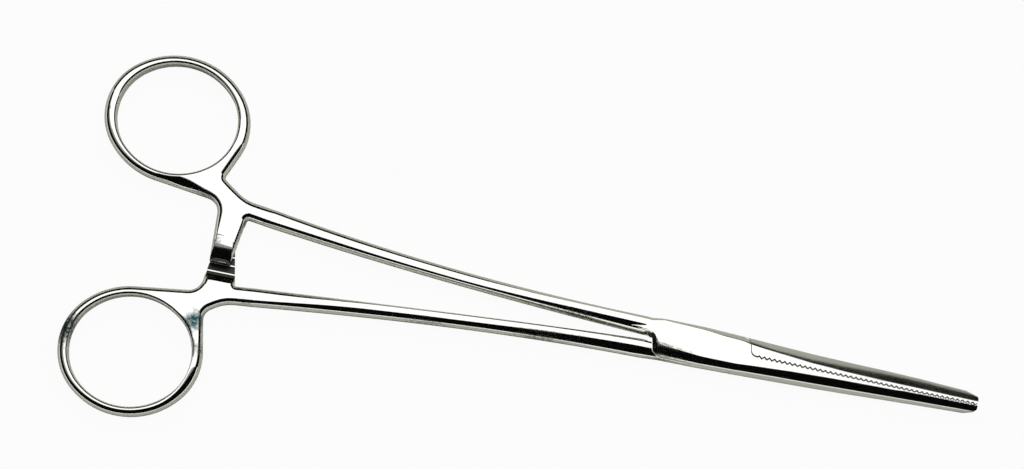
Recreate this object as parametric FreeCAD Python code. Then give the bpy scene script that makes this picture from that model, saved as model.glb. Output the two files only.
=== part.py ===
"""Locking box-joint forceps: two crossed arms with finger rings, a ratchet and serrated jaws.

Frame: millimetres, +X toward the jaw tips, +Y toward the ring of the slotted arm, +Z up.
The origin is on the pivot axis, on the lower face of the lock. The jaws are shut.
"""
import FreeCAD, Part
import math
import os

Vec = FreeCAD.Vector

# Thicknesses along Z
LOCK_THICKNESS = 5.5
HANDLE_THICKNESS = 4.3
JAW_ROOT_THICKNESS = 5.4
JAW_TIP_THICKNESS = 3.7
TONGUE_THICKNESS = 2.0
TONGUE_GAP = 0.08

# Lengths along X, measured from the pivot
TIP_X = 61.3
JAW_ROOT_X = 22.0
SHANK_END_X = -13.0
UPPER_RING_X = -122.5

# Finger rings
UPPER_RING_Y = 26.4
LOWER_RING_Y = 25.8
LOWER_RING_AHEAD = 1.0
RING_HOLE_LENGTH = 26.9
RING_HOLE_WIDTH = 24.4
UPPER_END_BAND = 2.7
LOWER_END_BAND = 2.3
RING_SIDE_BAND = 2.05
RING_TILT = math.radians(4.5)
RING_EDGE_RADIUS = 1.27
RING_EDGE_SHARE = 0.62
RING_HOLE_CHAMFER = 0.62

# Necks between ring, ratchet bar and shank
NECK_LENGTH = 6.0
NECK_LEAVE_ANGLE = math.radians(266.9)
NECK_SLOPE_RADIUS = 3.2
UPPER_MEET_ANGLE = math.radians(-18)
UPPER_NOTCH_Y = 15.6
UPPER_NOTCH_RADIUS = 0.9
LOWER_MEET_ANGLE = math.radians(-7.7)
LOWER_NOTCH_Y = 14.3
LOWER_NOTCH_RADIUS = 2.6
NECK_SHOULDER_FALL = math.radians(34)
NECK_SHOULDER_RADIUS = 8.0

# Ratchet bars, one over the other between the necks
BAR_SETBACK = 13.0
BAR_TAPER = 1.2
UPPER_BAR_WIDTH = 6.5
UPPER_BAR_END_WIDTH = 3.4
LOWER_BAR_WIDTH = 7.5
LOWER_BAR_END_WIDTH = 3.9
BAR_INNER_CORNER_RADIUS = 0.5
BAR_REACH = 2.4
RATCHET_TEETH = 4
RATCHET_PITCH = 1.85
RATCHET_DEPTH = 0.45
RATCHET_LAND = 0.25
RATCHET_GAP = 0.1
RATCHET_FLOOR = 0.5
RATCHET_RUNOUT = 1.7
BAR_NOSE_LENGTH = 5.2
BAR_NOSE_DROP = 1.05
BAR_NOSE_PARTS = 6
BAR_MARGIN = 5.6

# Shanks: heights of the centre line above the X axis, and widths, as curve controls
UPPER_LINE = (8.85, 5.0, 2.95, 2.2)
LOWER_LINE = (8.85, 6.15, 3.75, 2.9)
SHANK_WIDTHS = (3.95, 2.85, 2.85, 4.0)
SHANK_STATIONS = (0.0, 0.1, 0.3, 0.5, 0.7, 0.87, 1.0)
SHANK_NECK_SHARE = 0.3
SHANK_THICKEN_SHARE = 0.4
SHANK_WIDEN_SHARE = 0.5
SHANK_HALF_FLAT = 0.5
SHANK_HALF_SIDE = 0.35
SHANK_END_HALF_FLAT = 1.3
SHANK_DIVE = 6.5
SHANK_DIVE_WIDTH = 3.2
BOX_SHANK_END_THICKNESS = 5.2

# Lock and closed jaws together: half widths, and how far the flat faces reach to either side
LOCK_HALF_WIDTH = 4.35
LOCK_LOW_FLAT = 2.4
LOCK_HIGH_FLAT = 3.15
LOCK_START_X = -17.0
LOCK_START_HALF_WIDTH = 3.3
LOCK_START_THICKNESS = 4.0
LOCK_FULL_X = -9.0
LOCK_TAPER_X = 7.0
JAW_ROOT_HALF_WIDTH = 3.8
JAW_ROOT_LOW_FLAT = 1.35
JAW_ROOT_HIGH_FLAT = 1.1
JAW_MIDDLE_X = 42.0
JAW_MIDDLE_HALF_WIDTH = 3.1
JAW_MIDDLE_LOW_FLAT = 1.0
JAW_MIDDLE_HIGH_FLAT = 0.35
JAW_MIDDLE_THICKNESS = 4.7
JAW_TIP_HALF_WIDTH = 2.05
JAW_TIP_LOW_FLAT = 0.6
JAW_TIP_HIGH_FLAT = 0.3
TIP_END_HALF_WIDTH = 1.6
JAW_DROP = 0.2
TIP_BEVEL_LENGTH = 1.2
TIP_ROUNDING = 0.4
FLANK_HALF_SIDE = 0.3
LOW_FLANK_TURN = math.radians(35)
HIGH_FLANK_TURN = math.radians(14)

# Lock details
CHEEK_END_X = 10.9
CHEEK_CORNER_X = 10.2
CHEEK_CORNER_Y = 3.2
CHEEK_RIM_SLOPE = math.radians(33)
CHEEK_END_RADIUS = 1.2
CHEEK_ROOT_X = 14.0
CHEEK_ROOT_Y = 1.5
CHEEK_GAP = 0.16
CHEEK_BEVEL = 0.9
SHOULDER_GAP = 0.35
SLOT_HALF_WIDTH = 7.95
SLOT_TURN = math.radians(46)
SLOT_SIDE_GAP = 0.12
PIN_RADIUS = 1.5
PIN_RUNNING_GAP = 0.04

# Jaw serrations
TOOTH_PITCH = 1.13
TOOTH_DEPTH = 0.45
TOOTH_START_X = 12.4
JAW_ROOT_GAP = 0.3
JAW_TIP_GAP = 0.08

LOWER_RING_X = UPPER_RING_X + LOWER_RING_AHEAD
BAR_OUTER_X = UPPER_RING_X + BAR_SETBACK
BAR_OUTER_END_X = BAR_OUTER_X + BAR_TAPER
BAR_INNER_X = BAR_OUTER_X + UPPER_BAR_WIDTH
NECK_X = BAR_INNER_X + NECK_LENGTH
MIDDLE = LOCK_THICKNESS / 2
FAR = 4 * LOCK_HALF_WIDTH
PROUD = 0.05
TOUCH = 0.001


def unit(vector):
    """Return the vector at length one."""
    return Vec(vector).normalize()


def rounded_path(corners):
    """Return the edges of a flat path of straight runs and tangent arcs.

    Each corner is (x, y, radius). The first and last are plain ends.
    """
    edges = []
    start = Vec(corners[0][0], corners[0][1], 0)
    for before, corner, after in zip(corners, corners[1:], corners[2:]):
        point = Vec(corner[0], corner[1], 0)
        if corner[2] == 0:
            edges.append(Part.makeLine(start, point))
            start = point
            continue
        back = unit(Vec(before[0], before[1], 0) - point)
        ahead = unit(Vec(after[0], after[1], 0) - point)
        half = back.getAngle(ahead) / 2
        run = corner[2] / math.tan(half)
        middle = point + unit(back + ahead) * (corner[2] / math.sin(half) - corner[2])
        edges.append(Part.makeLine(start, point + back * run))
        edges.append(Part.Arc(point + back * run, middle, point + ahead * run).toShape())
        start = point + ahead * run
    edges.append(Part.makeLine(start, Vec(corners[-1][0], corners[-1][1], 0)))
    return edges


def prism(edges, low, high):
    """Return the solid that stands on a closed flat outline, from z low to z high."""
    face = Part.Face(Part.Wire(edges))
    face.translate(Vec(0, 0, low))
    return face.extrude(Vec(0, 0, high - low))


def across_prism(profile, start_x, end_x):
    """Return the solid with a closed (y, z) profile that runs along X."""
    points = [Vec(start_x, y, z) for y, z in profile]
    face = Part.Face(Part.makePolygon(points + points[:1]))
    return face.extrude(Vec(end_x - start_x, 0, 0))


def crossing(point, direction, other, other_direction):
    """Return the point where two flat lines cross."""
    gap = other - point
    scale = direction.x * other_direction.y - direction.y * other_direction.x
    share = (gap.x * other_direction.y - gap.y * other_direction.x) / scale
    return point + direction * share


def bezier(values, share):
    """Return the cubic curve's value at a share of its length."""
    rest = 1 - share
    weights = (rest**3, 3 * rest**2 * share, 3 * rest * share**2, share**3)
    return sum(weight * value for weight, value in zip(weights, values))


def blend(start, end, share):
    """Return the value a share of the way from start to end, leaving both gently."""
    share = min(max(share, 0.0), 1.0)
    return start + (end - start) * share * share * (3 - 2 * share)


def flank_middle(half_width, half_height, flat, half_side, most_turn):
    """Return the middle of the arc from an upright side to a flat, as distances from the centre.

    The arc turns as far as it can without rising over the flat or bulging past the side.
    """
    rise = half_height - half_side
    sink = half_width - flat
    slope = math.atan2(rise, sink)
    turn = min(most_turn, slope, math.pi / 2 - slope)
    bulge = math.tan(turn / 2) / 2
    return (half_width + flat) / 2 + rise * bulge, (half_height + half_side) / 2 + sink * bulge


def bar_section(centre, across, half_width, half_height, flats, half_side, turns=(math.pi, math.pi)):
    """Return a closed section: flat top and bottom, and arc flanks that meet upright sides.

    The flats and the most that each flank may turn are given for the -Y side and the +Y side.
    """
    def at(side, flat, up):
        return centre + across * (side * flat) + Vec(0, 0, up)

    def flank(side, first, last):
        flat = flats[(side + 1) // 2]
        middle = flank_middle(half_width, half_height, flat, half_side, turns[(side + 1) // 2])
        ends = {1: at(side, flat, last * half_height), 0: at(side, half_width, last * half_side)}
        return Part.Arc(ends[first], at(side, middle[0], last * middle[1]), ends[1 - first]).toShape()

    low_flat, high_flat = flats
    return Part.Wire([
        Part.makeLine(at(-1, low_flat, half_height), at(1, high_flat, half_height)),
        flank(1, 1, 1),
        Part.makeLine(at(1, half_width, half_side), at(1, half_width, -half_side)),
        flank(1, 0, -1),
        Part.makeLine(at(1, high_flat, -half_height), at(-1, low_flat, -half_height)),
        flank(-1, 1, -1),
        Part.makeLine(at(-1, half_width, -half_side), at(-1, half_width, half_side)),
        flank(-1, 0, 1),
    ])


def ring_edge_radius():
    """Return the rounding of rings and necks, which the thinnest band limits."""
    return min(RING_EDGE_RADIUS, RING_EDGE_SHARE * RING_SIDE_BAND, RING_EDGE_SHARE * HANDLE_THICKNESS)


def shank_point(line, share):
    """Return a point of a shank's centre line, for an arm on the +Y side."""
    third = (SHANK_END_X - NECK_X) / 3
    places = (NECK_X, NECK_X + third, SHANK_END_X - third, SHANK_END_X)
    return Vec(bezier(places, share), bezier(line, share), 0)


def shank_direction(line, share):
    """Return the direction of a shank's centre line, toward the lock."""
    return unit(shank_point(line, share + TOUCH) - shank_point(line, share - TOUCH))


class Arm:
    """The sizes in which the two arms differ, each given as for an arm on the +Y side."""

    def __init__(self, line, end_thickness, ring, end_band, meet_angle, notch_y, notch_radius,
                 bar_inner, bar_end):
        self.line = line
        self.end_thickness = end_thickness
        self.ring = Vec(ring[0], ring[1], 0)
        self.end_band = end_band
        self.meet_angle = meet_angle
        self.notch_y = notch_y
        self.notch_radius = notch_radius
        self.bar_inner = bar_inner
        self.bar_end = bar_end


UPPER_ARM = Arm(UPPER_LINE, BOX_SHANK_END_THICKNESS, (UPPER_RING_X, UPPER_RING_Y), UPPER_END_BAND,
                UPPER_MEET_ANGLE, UPPER_NOTCH_Y, UPPER_NOTCH_RADIUS,
                BAR_INNER_X, BAR_OUTER_END_X + UPPER_BAR_END_WIDTH)
LOWER_ARM = Arm(LOWER_LINE, HANDLE_THICKNESS, (LOWER_RING_X, LOWER_RING_Y), LOWER_END_BAND,
                LOWER_MEET_ANGLE, LOWER_NOTCH_Y, LOWER_NOTCH_RADIUS,
                BAR_OUTER_X + LOWER_BAR_WIDTH, BAR_OUTER_END_X + LOWER_BAR_END_WIDTH)


def ring_normal(angle):
    """Return the unit vector at an angle from a ring's long axis."""
    return Vec(math.cos(angle - RING_TILT), math.sin(angle - RING_TILT), 0)


def ring_point(arm, band_end, band_side, angle):
    """Return the point of a ring's oval, grown by two bands, whose normal has that angle.

    Two radii make up the oval. They meet where the normal points along a diagonal, which fixes both.
    """
    half_length = RING_HOLE_LENGTH / 2 + band_end
    half_width = RING_HOLE_WIDTH / 2 + band_side
    change = (half_length - half_width) / math.sqrt(2)
    if abs(math.cos(angle)) > abs(math.sin(angle)):
        radius = half_width - change
        offset = ring_normal(0) * (half_length - radius) * math.copysign(1, math.cos(angle))
    else:
        radius = half_length + change
        offset = ring_normal(math.pi / 2) * (half_width - radius) * math.copysign(1, math.sin(angle))
    return arm.ring + offset + ring_normal(angle) * radius


def ring_arcs(arm, band_end, band_side, start, stop):
    """Return the arcs of a ring's oval between two angles of its normal."""
    joints = [math.pi * odd / 4 for odd in (-1, 1, 3, 5, 7)]
    angles = [start] + [joint for joint in joints if start < joint < stop] + [stop]
    arcs = []
    for first, last in zip(angles, angles[1:]):
        points = [ring_point(arm, band_end, band_side, angle)
                  for angle in (first, (first + last) / 2, last)]
        arcs.append(Part.Arc(*points).toShape())
    return arcs


def handle(arm):
    """Return ring, neck and ratchet bar of an arm on the +Y side, with rounded edges."""
    leave = ring_point(arm, arm.end_band, RING_SIDE_BAND, NECK_LEAVE_ANGLE)
    meet = ring_point(arm, arm.end_band, RING_SIDE_BAND, arm.meet_angle)
    leave_direction = ring_normal(NECK_LEAVE_ANGLE + math.pi / 2)
    meet_direction = ring_normal(arm.meet_angle + math.pi / 2)
    notch = meet + meet_direction * ((arm.notch_y - meet.y) / meet_direction.y)

    end = shank_point(arm.line, 0)
    forward = shank_direction(arm.line, 0)
    across = Vec(-forward.y, forward.x, 0)
    end_high = end + across * (SHANK_WIDTHS[0] / 2)
    end_low = end - across * (SHANK_WIDTHS[0] / 2)
    fall = Vec(math.cos(NECK_SHOULDER_FALL), -math.sin(NECK_SHOULDER_FALL), 0)
    shoulder = crossing(end_high, forward, notch, fall)

    bar_outer = Vec(BAR_OUTER_X, end.y, 0)
    bar_inner = Vec(arm.bar_inner, end.y, 0)
    outer_end = Vec(BAR_OUTER_END_X, -BAR_REACH, 0)
    inner_end = Vec(arm.bar_end, -BAR_REACH, 0)
    slope = crossing(leave, leave_direction, bar_outer, outer_end - bar_outer)
    inner = crossing(end_low, forward, bar_inner, inner_end - bar_inner)

    outline = rounded_path([
        (leave.x, leave.y, 0),
        (slope.x, slope.y, NECK_SLOPE_RADIUS),
        (outer_end.x, outer_end.y, 0),
        (inner_end.x, inner_end.y, 0),
        (inner.x, inner.y, BAR_INNER_CORNER_RADIUS),
        (end_low.x, end_low.y, 0),
        (end_high.x, end_high.y, 0),
        (shoulder.x, shoulder.y, NECK_SHOULDER_RADIUS),
        (notch.x, notch.y, arm.notch_radius),
        (meet.x, meet.y, 0),
    ])
    outline += ring_arcs(arm, arm.end_band, RING_SIDE_BAND, arm.meet_angle, NECK_LEAVE_ANGLE)
    low = MIDDLE - HANDLE_THICKNESS / 2
    high = MIDDLE + HANDLE_THICKNESS / 2
    blank = prism(outline, low, high)

    def rounds(edge):
        middle = edge.valueAt((edge.FirstParameter + edge.LastParameter) / 2)
        flat = edge.BoundBox.ZLength < TOUCH
        bar_end = abs(middle.y + BAR_REACH) < TOUCH
        shank_end = abs((middle - end).dot(forward)) < TOUCH
        return flat and not bar_end and not shank_end

    smooth = blank.makeFillet(ring_edge_radius(), [edge for edge in blank.Edges if rounds(edge)])
    return smooth.cut(finger_hole(arm, low, high)).cut(ratchet_relief()).cut(bar_nose())


def finger_hole(arm, low, high):
    """Return what is cut out of a ring for the finger: an oval hole, chamfered at both mouths."""
    chamfer = min(RING_HOLE_CHAMFER, RING_EDGE_SHARE * RING_SIDE_BAND)
    start = -math.pi / 4
    stop = start + 2 * math.pi
    rims = [Part.Wire(ring_arcs(arm, grow, grow, start, stop)) for grow in (0, chamfer + PROUD)]
    mouths = []
    for face, inward in ((low, 1), (high, -1)):
        narrow = rims[0].copy()
        narrow.translate(Vec(0, 0, face + inward * chamfer))
        wide = rims[1].copy()
        wide.translate(Vec(0, 0, face - inward * PROUD))
        mouths.append(Part.makeLoft([narrow, wide], True, True))
    hole = prism(rims[0].Edges, low, high)
    return hole.fuse(mouths)


def ratchet_relief():
    """Return what is cut behind a ratchet bar: half its thickness, leaving the teeth.

    Each tooth rises away from the bar's end and drops steeply, so shut arms can't spring open.
    """
    crest = MIDDLE + RATCHET_GAP / 2
    root = crest + RATCHET_DEPTH
    face = MIDDLE - HANDLE_THICKNESS / 2
    past_end = -BAR_REACH - RATCHET_PITCH
    profile = [(past_end, -face), (past_end, root), (-BAR_REACH, root)]
    for tooth in range(RATCHET_TEETH):
        drop = (tooth + 1) * RATCHET_PITCH - BAR_REACH
        profile += [(drop - RATCHET_LAND, crest), (drop, crest), (drop, root)]
    floor_end = RATCHET_TEETH * RATCHET_PITCH - BAR_REACH + RATCHET_FLOOR
    profile += [(floor_end, root), (floor_end + RATCHET_RUNOUT, face)]
    profile += [(floor_end + RATCHET_RUNOUT, -face)]
    return across_prism(profile, BAR_OUTER_X - BAR_MARGIN, BAR_INNER_X + BAR_MARGIN)


def bar_nose():
    """Return the curved wedge ground off the outer face of a ratchet bar toward its end."""
    top = MIDDLE + HANDLE_THICKNESS / 2
    start = BAR_NOSE_LENGTH - BAR_REACH
    shares = [part / BAR_NOSE_PARTS for part in range(BAR_NOSE_PARTS + 2)]
    profile = [(start - share * BAR_NOSE_LENGTH, top - BAR_NOSE_DROP * share**2) for share in shares]
    profile += [(profile[-1][0], top + BAR_NOSE_DROP), (start, top + BAR_NOSE_DROP)]
    return across_prism(profile, BAR_OUTER_X - BAR_MARGIN, BAR_INNER_X + BAR_MARGIN)


def shank(arm):
    """Return a shank from its neck into the lock, for an arm on the +Y side."""
    edge = ring_edge_radius()
    low_height = HANDLE_THICKNESS / 2
    sections = []
    for share in SHANK_STATIONS:
        thicken = (share - SHANK_THICKEN_SHARE) / (1 - SHANK_THICKEN_SHARE)
        widen = (share - SHANK_WIDEN_SHARE) / (1 - SHANK_WIDEN_SHARE)
        half_width = bezier(SHANK_WIDTHS, share) / 2
        half_height = blend(low_height, arm.end_thickness / 2, thicken)
        half_flat = blend(half_width - edge, SHANK_HALF_FLAT, share / SHANK_NECK_SHARE)
        half_flat = blend(half_flat, SHANK_END_HALF_FLAT, widen)
        half_side = blend(low_height - edge, SHANK_HALF_SIDE, share / SHANK_NECK_SHARE)
        direction = shank_direction(arm.line, share)
        across = Vec(-direction.y, direction.x, 0)
        centre = shank_point(arm.line, share) + Vec(0, 0, MIDDLE)
        flats = (half_flat, half_flat)
        sections.append(bar_section(centre, across, half_width, half_height, flats, half_side))
    inside = shank_point(arm.line, 1) + Vec(SHANK_DIVE, 0, MIDDLE)
    half_height = arm.end_thickness / 2 - 2 * PROUD
    half_width = SHANK_DIVE_WIDTH / 2
    narrowing = (SHANK_WIDTHS[3] - SHANK_DIVE_WIDTH) / 2
    half_flat = SHANK_END_HALF_FLAT - narrowing
    flats = (half_flat, half_flat)
    sections.append(bar_section(inside, Vec(0, 1, 0), half_width, half_height, flats, SHANK_HALF_SIDE))
    return Part.makeLoft(sections, True, True)


def lock_and_jaws():
    """Return the shut lock and jaws as one tapering bar with flat faces and arc flanks."""
    lock_flats = (LOCK_LOW_FLAT, LOCK_HIGH_FLAT)
    narrowing = LOCK_HALF_WIDTH - LOCK_START_HALF_WIDTH
    start_flats = (LOCK_LOW_FLAT - narrowing, LOCK_HIGH_FLAT - narrowing)
    root_flats = (JAW_ROOT_LOW_FLAT, JAW_ROOT_HIGH_FLAT)
    middle_flats = (JAW_MIDDLE_LOW_FLAT, JAW_MIDDLE_HIGH_FLAT)
    tip_flats = (JAW_TIP_LOW_FLAT, JAW_TIP_HIGH_FLAT)
    stations = [
        (LOCK_START_X, 0, LOCK_START_HALF_WIDTH, LOCK_START_THICKNESS, start_flats),
        (LOCK_FULL_X, 0, LOCK_HALF_WIDTH, LOCK_THICKNESS, lock_flats),
        (LOCK_TAPER_X, 0, LOCK_HALF_WIDTH, LOCK_THICKNESS, lock_flats),
        (JAW_ROOT_X, JAW_DROP, JAW_ROOT_HALF_WIDTH, JAW_ROOT_THICKNESS, root_flats),
        (JAW_MIDDLE_X, JAW_DROP, JAW_MIDDLE_HALF_WIDTH, JAW_MIDDLE_THICKNESS, middle_flats),
        (TIP_X, JAW_DROP, JAW_TIP_HALF_WIDTH, JAW_TIP_THICKNESS, tip_flats),
    ]
    turns = (LOW_FLANK_TURN, HIGH_FLANK_TURN)
    sections = []
    for x, drop, half_width, thickness, flats in stations:
        centre = Vec(x, -drop, MIDDLE)
        sections.append(bar_section(centre, Vec(0, 1, 0), half_width, thickness / 2, flats,
                                    FLANK_HALF_SIDE, turns))
    return Part.makeLoft(sections, True, True)


def cheek_edge(gap):
    """Return the corners of the curved right end of the cheeks, moved outward by a gap.

    It runs from beyond the upper rim down to the closing line of the jaws.
    """
    shift_y = gap * (1 - math.sin(CHEEK_RIM_SLOPE)) / math.cos(CHEEK_RIM_SLOPE)
    corner = (CHEEK_CORNER_X + gap, CHEEK_CORNER_Y + shift_y, CHEEK_END_RADIUS)
    rise = 2 * LOCK_HALF_WIDTH - corner[1]
    outside = (corner[0] - rise / math.tan(CHEEK_RIM_SLOPE), corner[1] + rise, 0)
    return [outside, corner, (CHEEK_END_X + gap, shift_y, CHEEK_END_RADIUS)]


def closing_line(side):
    """Return the corners of one jaw's serrated closing line, from the lock to the tip.

    The side is 1 for the upper jaw and -1 for the lower one; the gap narrows to the tip.
    """
    def height(x, wave):
        share = (x - TOOTH_START_X) / (TIP_X - TOOTH_START_X)
        gap = JAW_ROOT_GAP + (JAW_TIP_GAP - JAW_ROOT_GAP) * share
        return wave * TOOTH_DEPTH / 2 + side * gap / 2

    corners = [(TOOTH_START_X, height(TOOTH_START_X, 0), 0)]
    teeth = int((TIP_X - TOOTH_START_X) / TOOTH_PITCH)
    for tooth in range(teeth):
        foot = TOOTH_START_X + tooth * TOOTH_PITCH
        for quarter, wave in ((0.25, 1), (0.75, -1)):
            x = foot + quarter * TOOTH_PITCH
            corners.append((x, height(x, wave), 0))
    last = TOOTH_START_X + teeth * TOOTH_PITCH
    corners.append((last, height(last, 0), 0))
    corners.append((TIP_X, height(TIP_X, 0), 0))
    return corners


def tip_end(side):
    """Return the corners round one jaw's blunt tip, outward from the closing line."""
    wide = side * (JAW_TIP_HALF_WIDTH + PROUD)
    taper = (JAW_TIP_HALF_WIDTH - TIP_END_HALF_WIDTH) / TIP_BEVEL_LENGTH
    beyond = FAR - TIP_END_HALF_WIDTH
    return [(TIP_X, side * TIP_END_HALF_WIDTH - JAW_DROP, TIP_ROUNDING),
            (TIP_X - TIP_BEVEL_LENGTH, wide - JAW_DROP, 0),
            (TIP_X - TIP_BEVEL_LENGTH - taper, side * beyond, 0)]


def turned(corners):
    """Return the corners turned half a turn about the pivot."""
    return [(-x, -y, radius) for x, y, radius in corners]


def closed(corners):
    """Return the edges of a closed rounded path; its first corner stays sharp."""
    return rounded_path(corners + [(corners[0][0], corners[0][1], 0)])


def cheek_region():
    """Return the space of the slotted arm's cheeks and jaw, bevelled at the cheeks' left end."""
    corners = cheek_edge(0)
    corners += closing_line(-1)
    corners += tip_end(-1)
    corners += [(0, -FAR, 0)]
    corners += turned(cheek_edge(0))
    corners += [(-CHEEK_ROOT_X, CHEEK_ROOT_Y, 0), (2 * LOCK_START_X, CHEEK_ROOT_Y, 0)]
    corners += [(2 * LOCK_START_X, FAR, 0)]
    region = prism(closed(corners), -PROUD, LOCK_THICKNESS + PROUD)

    def bevels(edge):
        middle = edge.valueAt((edge.FirstParameter + edge.LastParameter) / 2)
        flat = edge.BoundBox.ZLength < TOUCH
        cheek_end = -CHEEK_ROOT_X < middle.x < 0 and -FAR < middle.y < CHEEK_ROOT_Y - PROUD
        return flat and cheek_end

    return region.makeChamfer(CHEEK_BEVEL + PROUD, [edge for edge in region.Edges if bevels(edge)])


def jaw_region():
    """Return the space of the tongue arm's jaw."""
    corners = cheek_edge(CHEEK_GAP)
    corners += closing_line(1)
    corners += tip_end(1)
    return prism(closed(corners), -PROUD, LOCK_THICKNESS + PROUD)


def slot(half_width, thickness):
    """Return the slanted space through the lock that the tongue passes in."""
    space = Part.makeBox(2 * FAR, 2 * half_width, thickness, Vec(-FAR, -half_width, MIDDLE - thickness / 2))
    return space.rotate(Vec(0, 0, 0), Vec(0, 0, 1), math.degrees(SLOT_TURN))


def pin(radius):
    """Return a cylinder on the pivot axis, as long as the lock is thick."""
    return Part.makeCylinder(radius, LOCK_THICKNESS)


def beyond_shoulder():
    """Return the space right of the tongue arm's shoulder, which its shank doesn't enter."""
    corners = turned(cheek_edge(SHOULDER_GAP))
    corners += [(-CHEEK_ROOT_X, FAR, 0), (FAR, FAR, 0), (FAR, -FAR, 0)]
    return prism(closed(corners), -PROUD, LOCK_THICKNESS + PROUD)


def box_arm():
    """Return the slotted arm: upper handle, cheeks of the lock and lower jaw."""
    cheeks = lock_and_jaws().common(cheek_region())
    arm = handle(UPPER_ARM).fuse(shank(UPPER_ARM)).fuse(cheeks)
    arm = arm.cut(slot(SLOT_HALF_WIDTH, TONGUE_THICKNESS + 2 * TONGUE_GAP))
    return arm.cut(pin(PIN_RADIUS))


def tongue_arm():
    """Return the inner arm: lower handle, tongue through the lock and upper jaw."""
    tongue = slot(SLOT_HALF_WIDTH - SLOT_SIDE_GAP, TONGUE_THICKNESS)
    head = lock_and_jaws().common(jaw_region().fuse(tongue))
    arm = handle(LOWER_ARM).fuse(shank(LOWER_ARM))
    arm.rotate(Vec(0, 0, MIDDLE), Vec(1, 0, 0), 180)
    arm = arm.cut(beyond_shoulder()).fuse(head)
    return arm.cut(pin(PIN_RADIUS + PIN_RUNNING_GAP))


if __name__ == "__main__":
    os.makedirs("parts", exist_ok=True)
    pieces = {"box_arm": box_arm(), "tongue_arm": tongue_arm(), "lock_pin": pin(PIN_RADIUS)}
    for name, shape in pieces.items():
        shape = shape.removeSplitter()
        box = shape.BoundBox
        print(name, "valid", shape.isValid(), "solids", len(shape.Solids), "faces", len(shape.Faces),
              "volume", round(shape.Volume, 2), "z", round(box.ZMin, 3), round(box.ZMax, 3))
        shape.exportStep("parts/" + name + ".step")
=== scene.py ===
"""Dress the locking forceps for a studio picture: two polished arms, a pivot pin and the set.

Sizes are millimetres in the row frame: +X toward the jaw tips, +Y toward the ring of the
slotted arm, +Z up. The origin is on the pivot axis, on the lower face of the lock.
"""

import logging
import math
from collections.abc import Callable
from dataclasses import dataclass, field
from enum import Enum

import bmesh
import bpy
from mathutils import Matrix, Vector
from mathutils.kdtree import KDTree

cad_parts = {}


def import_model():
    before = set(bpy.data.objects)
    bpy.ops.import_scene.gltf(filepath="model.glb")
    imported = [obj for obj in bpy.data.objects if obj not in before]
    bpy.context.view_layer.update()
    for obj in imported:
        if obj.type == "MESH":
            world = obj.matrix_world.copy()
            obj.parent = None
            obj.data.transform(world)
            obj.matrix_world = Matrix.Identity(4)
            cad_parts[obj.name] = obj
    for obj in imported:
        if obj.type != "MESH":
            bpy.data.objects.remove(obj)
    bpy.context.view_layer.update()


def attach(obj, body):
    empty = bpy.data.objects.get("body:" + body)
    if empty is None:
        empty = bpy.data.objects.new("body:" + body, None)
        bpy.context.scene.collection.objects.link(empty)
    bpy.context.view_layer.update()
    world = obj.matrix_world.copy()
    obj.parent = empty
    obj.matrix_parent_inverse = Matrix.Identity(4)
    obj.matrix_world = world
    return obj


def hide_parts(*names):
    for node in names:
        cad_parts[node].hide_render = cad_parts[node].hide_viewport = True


LOG = logging.getLogger("forceps")
MM = 0.001
LOCK_THICKNESS = 5.5
MIDDLE = LOCK_THICKNESS / 2
FAR = 18.0
PROUD = 0.05
MERGE_DISTANCE = MM / 1000
FLAT_FACE_WEIGHT = 90
# Attribute names: a colour of painted shade and painted reflection tint, and the satin roughness.
PAINTED_TINT_AND_SHADE = "painted_tint_and_shade"
SATIN = "satin"
# Painted reflection: tints laid into the steel's colour where flanks and a few flats should show a dark,
# coloured reflection.
TEAL = (0.02, 0.09, 0.1)
DEEP_TEAL = (0.012, 0.035, 0.035)
BROWN = (0.11, 0.075, 0.05)


class Joining(Enum):
    """How one solid is combined with another."""

    COMMON = "INTERSECT"
    ADD = "UNION"
    REMOVE = "DIFFERENCE"


class Part(Enum):
    """What is picked of a mesh in edit mode."""

    EDGES = "EDGE"
    FACES = "FACE"


def flat_unit(x: float, y: float) -> Vector:
    """Return the flat direction (x, y) at length one."""
    return Vector((x, y, 0)).normalized()


def left_of(direction: Vector) -> Vector:
    """Return the flat direction a quarter turn to the left."""
    return Vector((-direction.y, direction.x, 0))


def blend(start: float, end: float, share: float) -> float:
    """Return the value a share of the way from start to end, leaving both gently."""
    share = min(max(share, 0.0), 1.0)
    return start + (end - start) * share * share * (3 - 2 * share)


def bezier(values: tuple[float, float, float, float], share: float) -> float:
    """Return a cubic curve's value at a share of its length.

    Args:
        values: the curve's four control values.
        share: the share of its length.

    Returns:
        The value there.
    """
    rest = 1 - share
    weights = (rest**3, 3 * rest**2 * share, 3 * rest * share**2, share**3)
    return sum(weight * value for weight, value in zip(weights, values))


def crossing(point: Vector, direction: Vector, other: Vector, other_direction: Vector) -> Vector:
    """Return the point where two flat lines cross.

    Args:
        point: a point of the first line.
        direction: the first line's direction.
        other: a point of the second line.
        other_direction: the second line's direction.

    Returns:
        The crossing, with the first point's height.
    """
    gap = other - point
    scale = direction.x * other_direction.y - direction.y * other_direction.x
    share = (gap.x * other_direction.y - gap.y * other_direction.x) / scale
    return point + direction * share


def arc_rows(rise: float, sink: float, rows: int, most_turn: float = math.pi) -> list[tuple[float, float]]:
    """Return the rows of an arc flank between an upright side and the flat above it.

    The arc turns as far as it can without rising over the flat or bulging past the side.

    Args:
        rise: how much higher the flat is than the top of the side.
        sink: how far inside the side the flat begins.
        rows: how many strips make the flank.
        most_turn: half the most that the flank may turn.

    Returns:
        The (inward, upward) distance of each row, from the side to the flat.
    """
    slope = math.atan2(rise, sink)
    turn = min(most_turn, slope, math.pi / 2 - slope)
    radius = math.hypot(rise, sink) / 2 / math.sin(turn)
    centre = (radius * math.sin(slope + turn), -radius * math.cos(slope + turn))
    angles = [slope + turn - 2 * turn * row / rows for row in range(rows + 1)]
    return [(centre[0] - radius * math.sin(angle), centre[1] + radius * math.cos(angle))
            for angle in angles]


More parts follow.
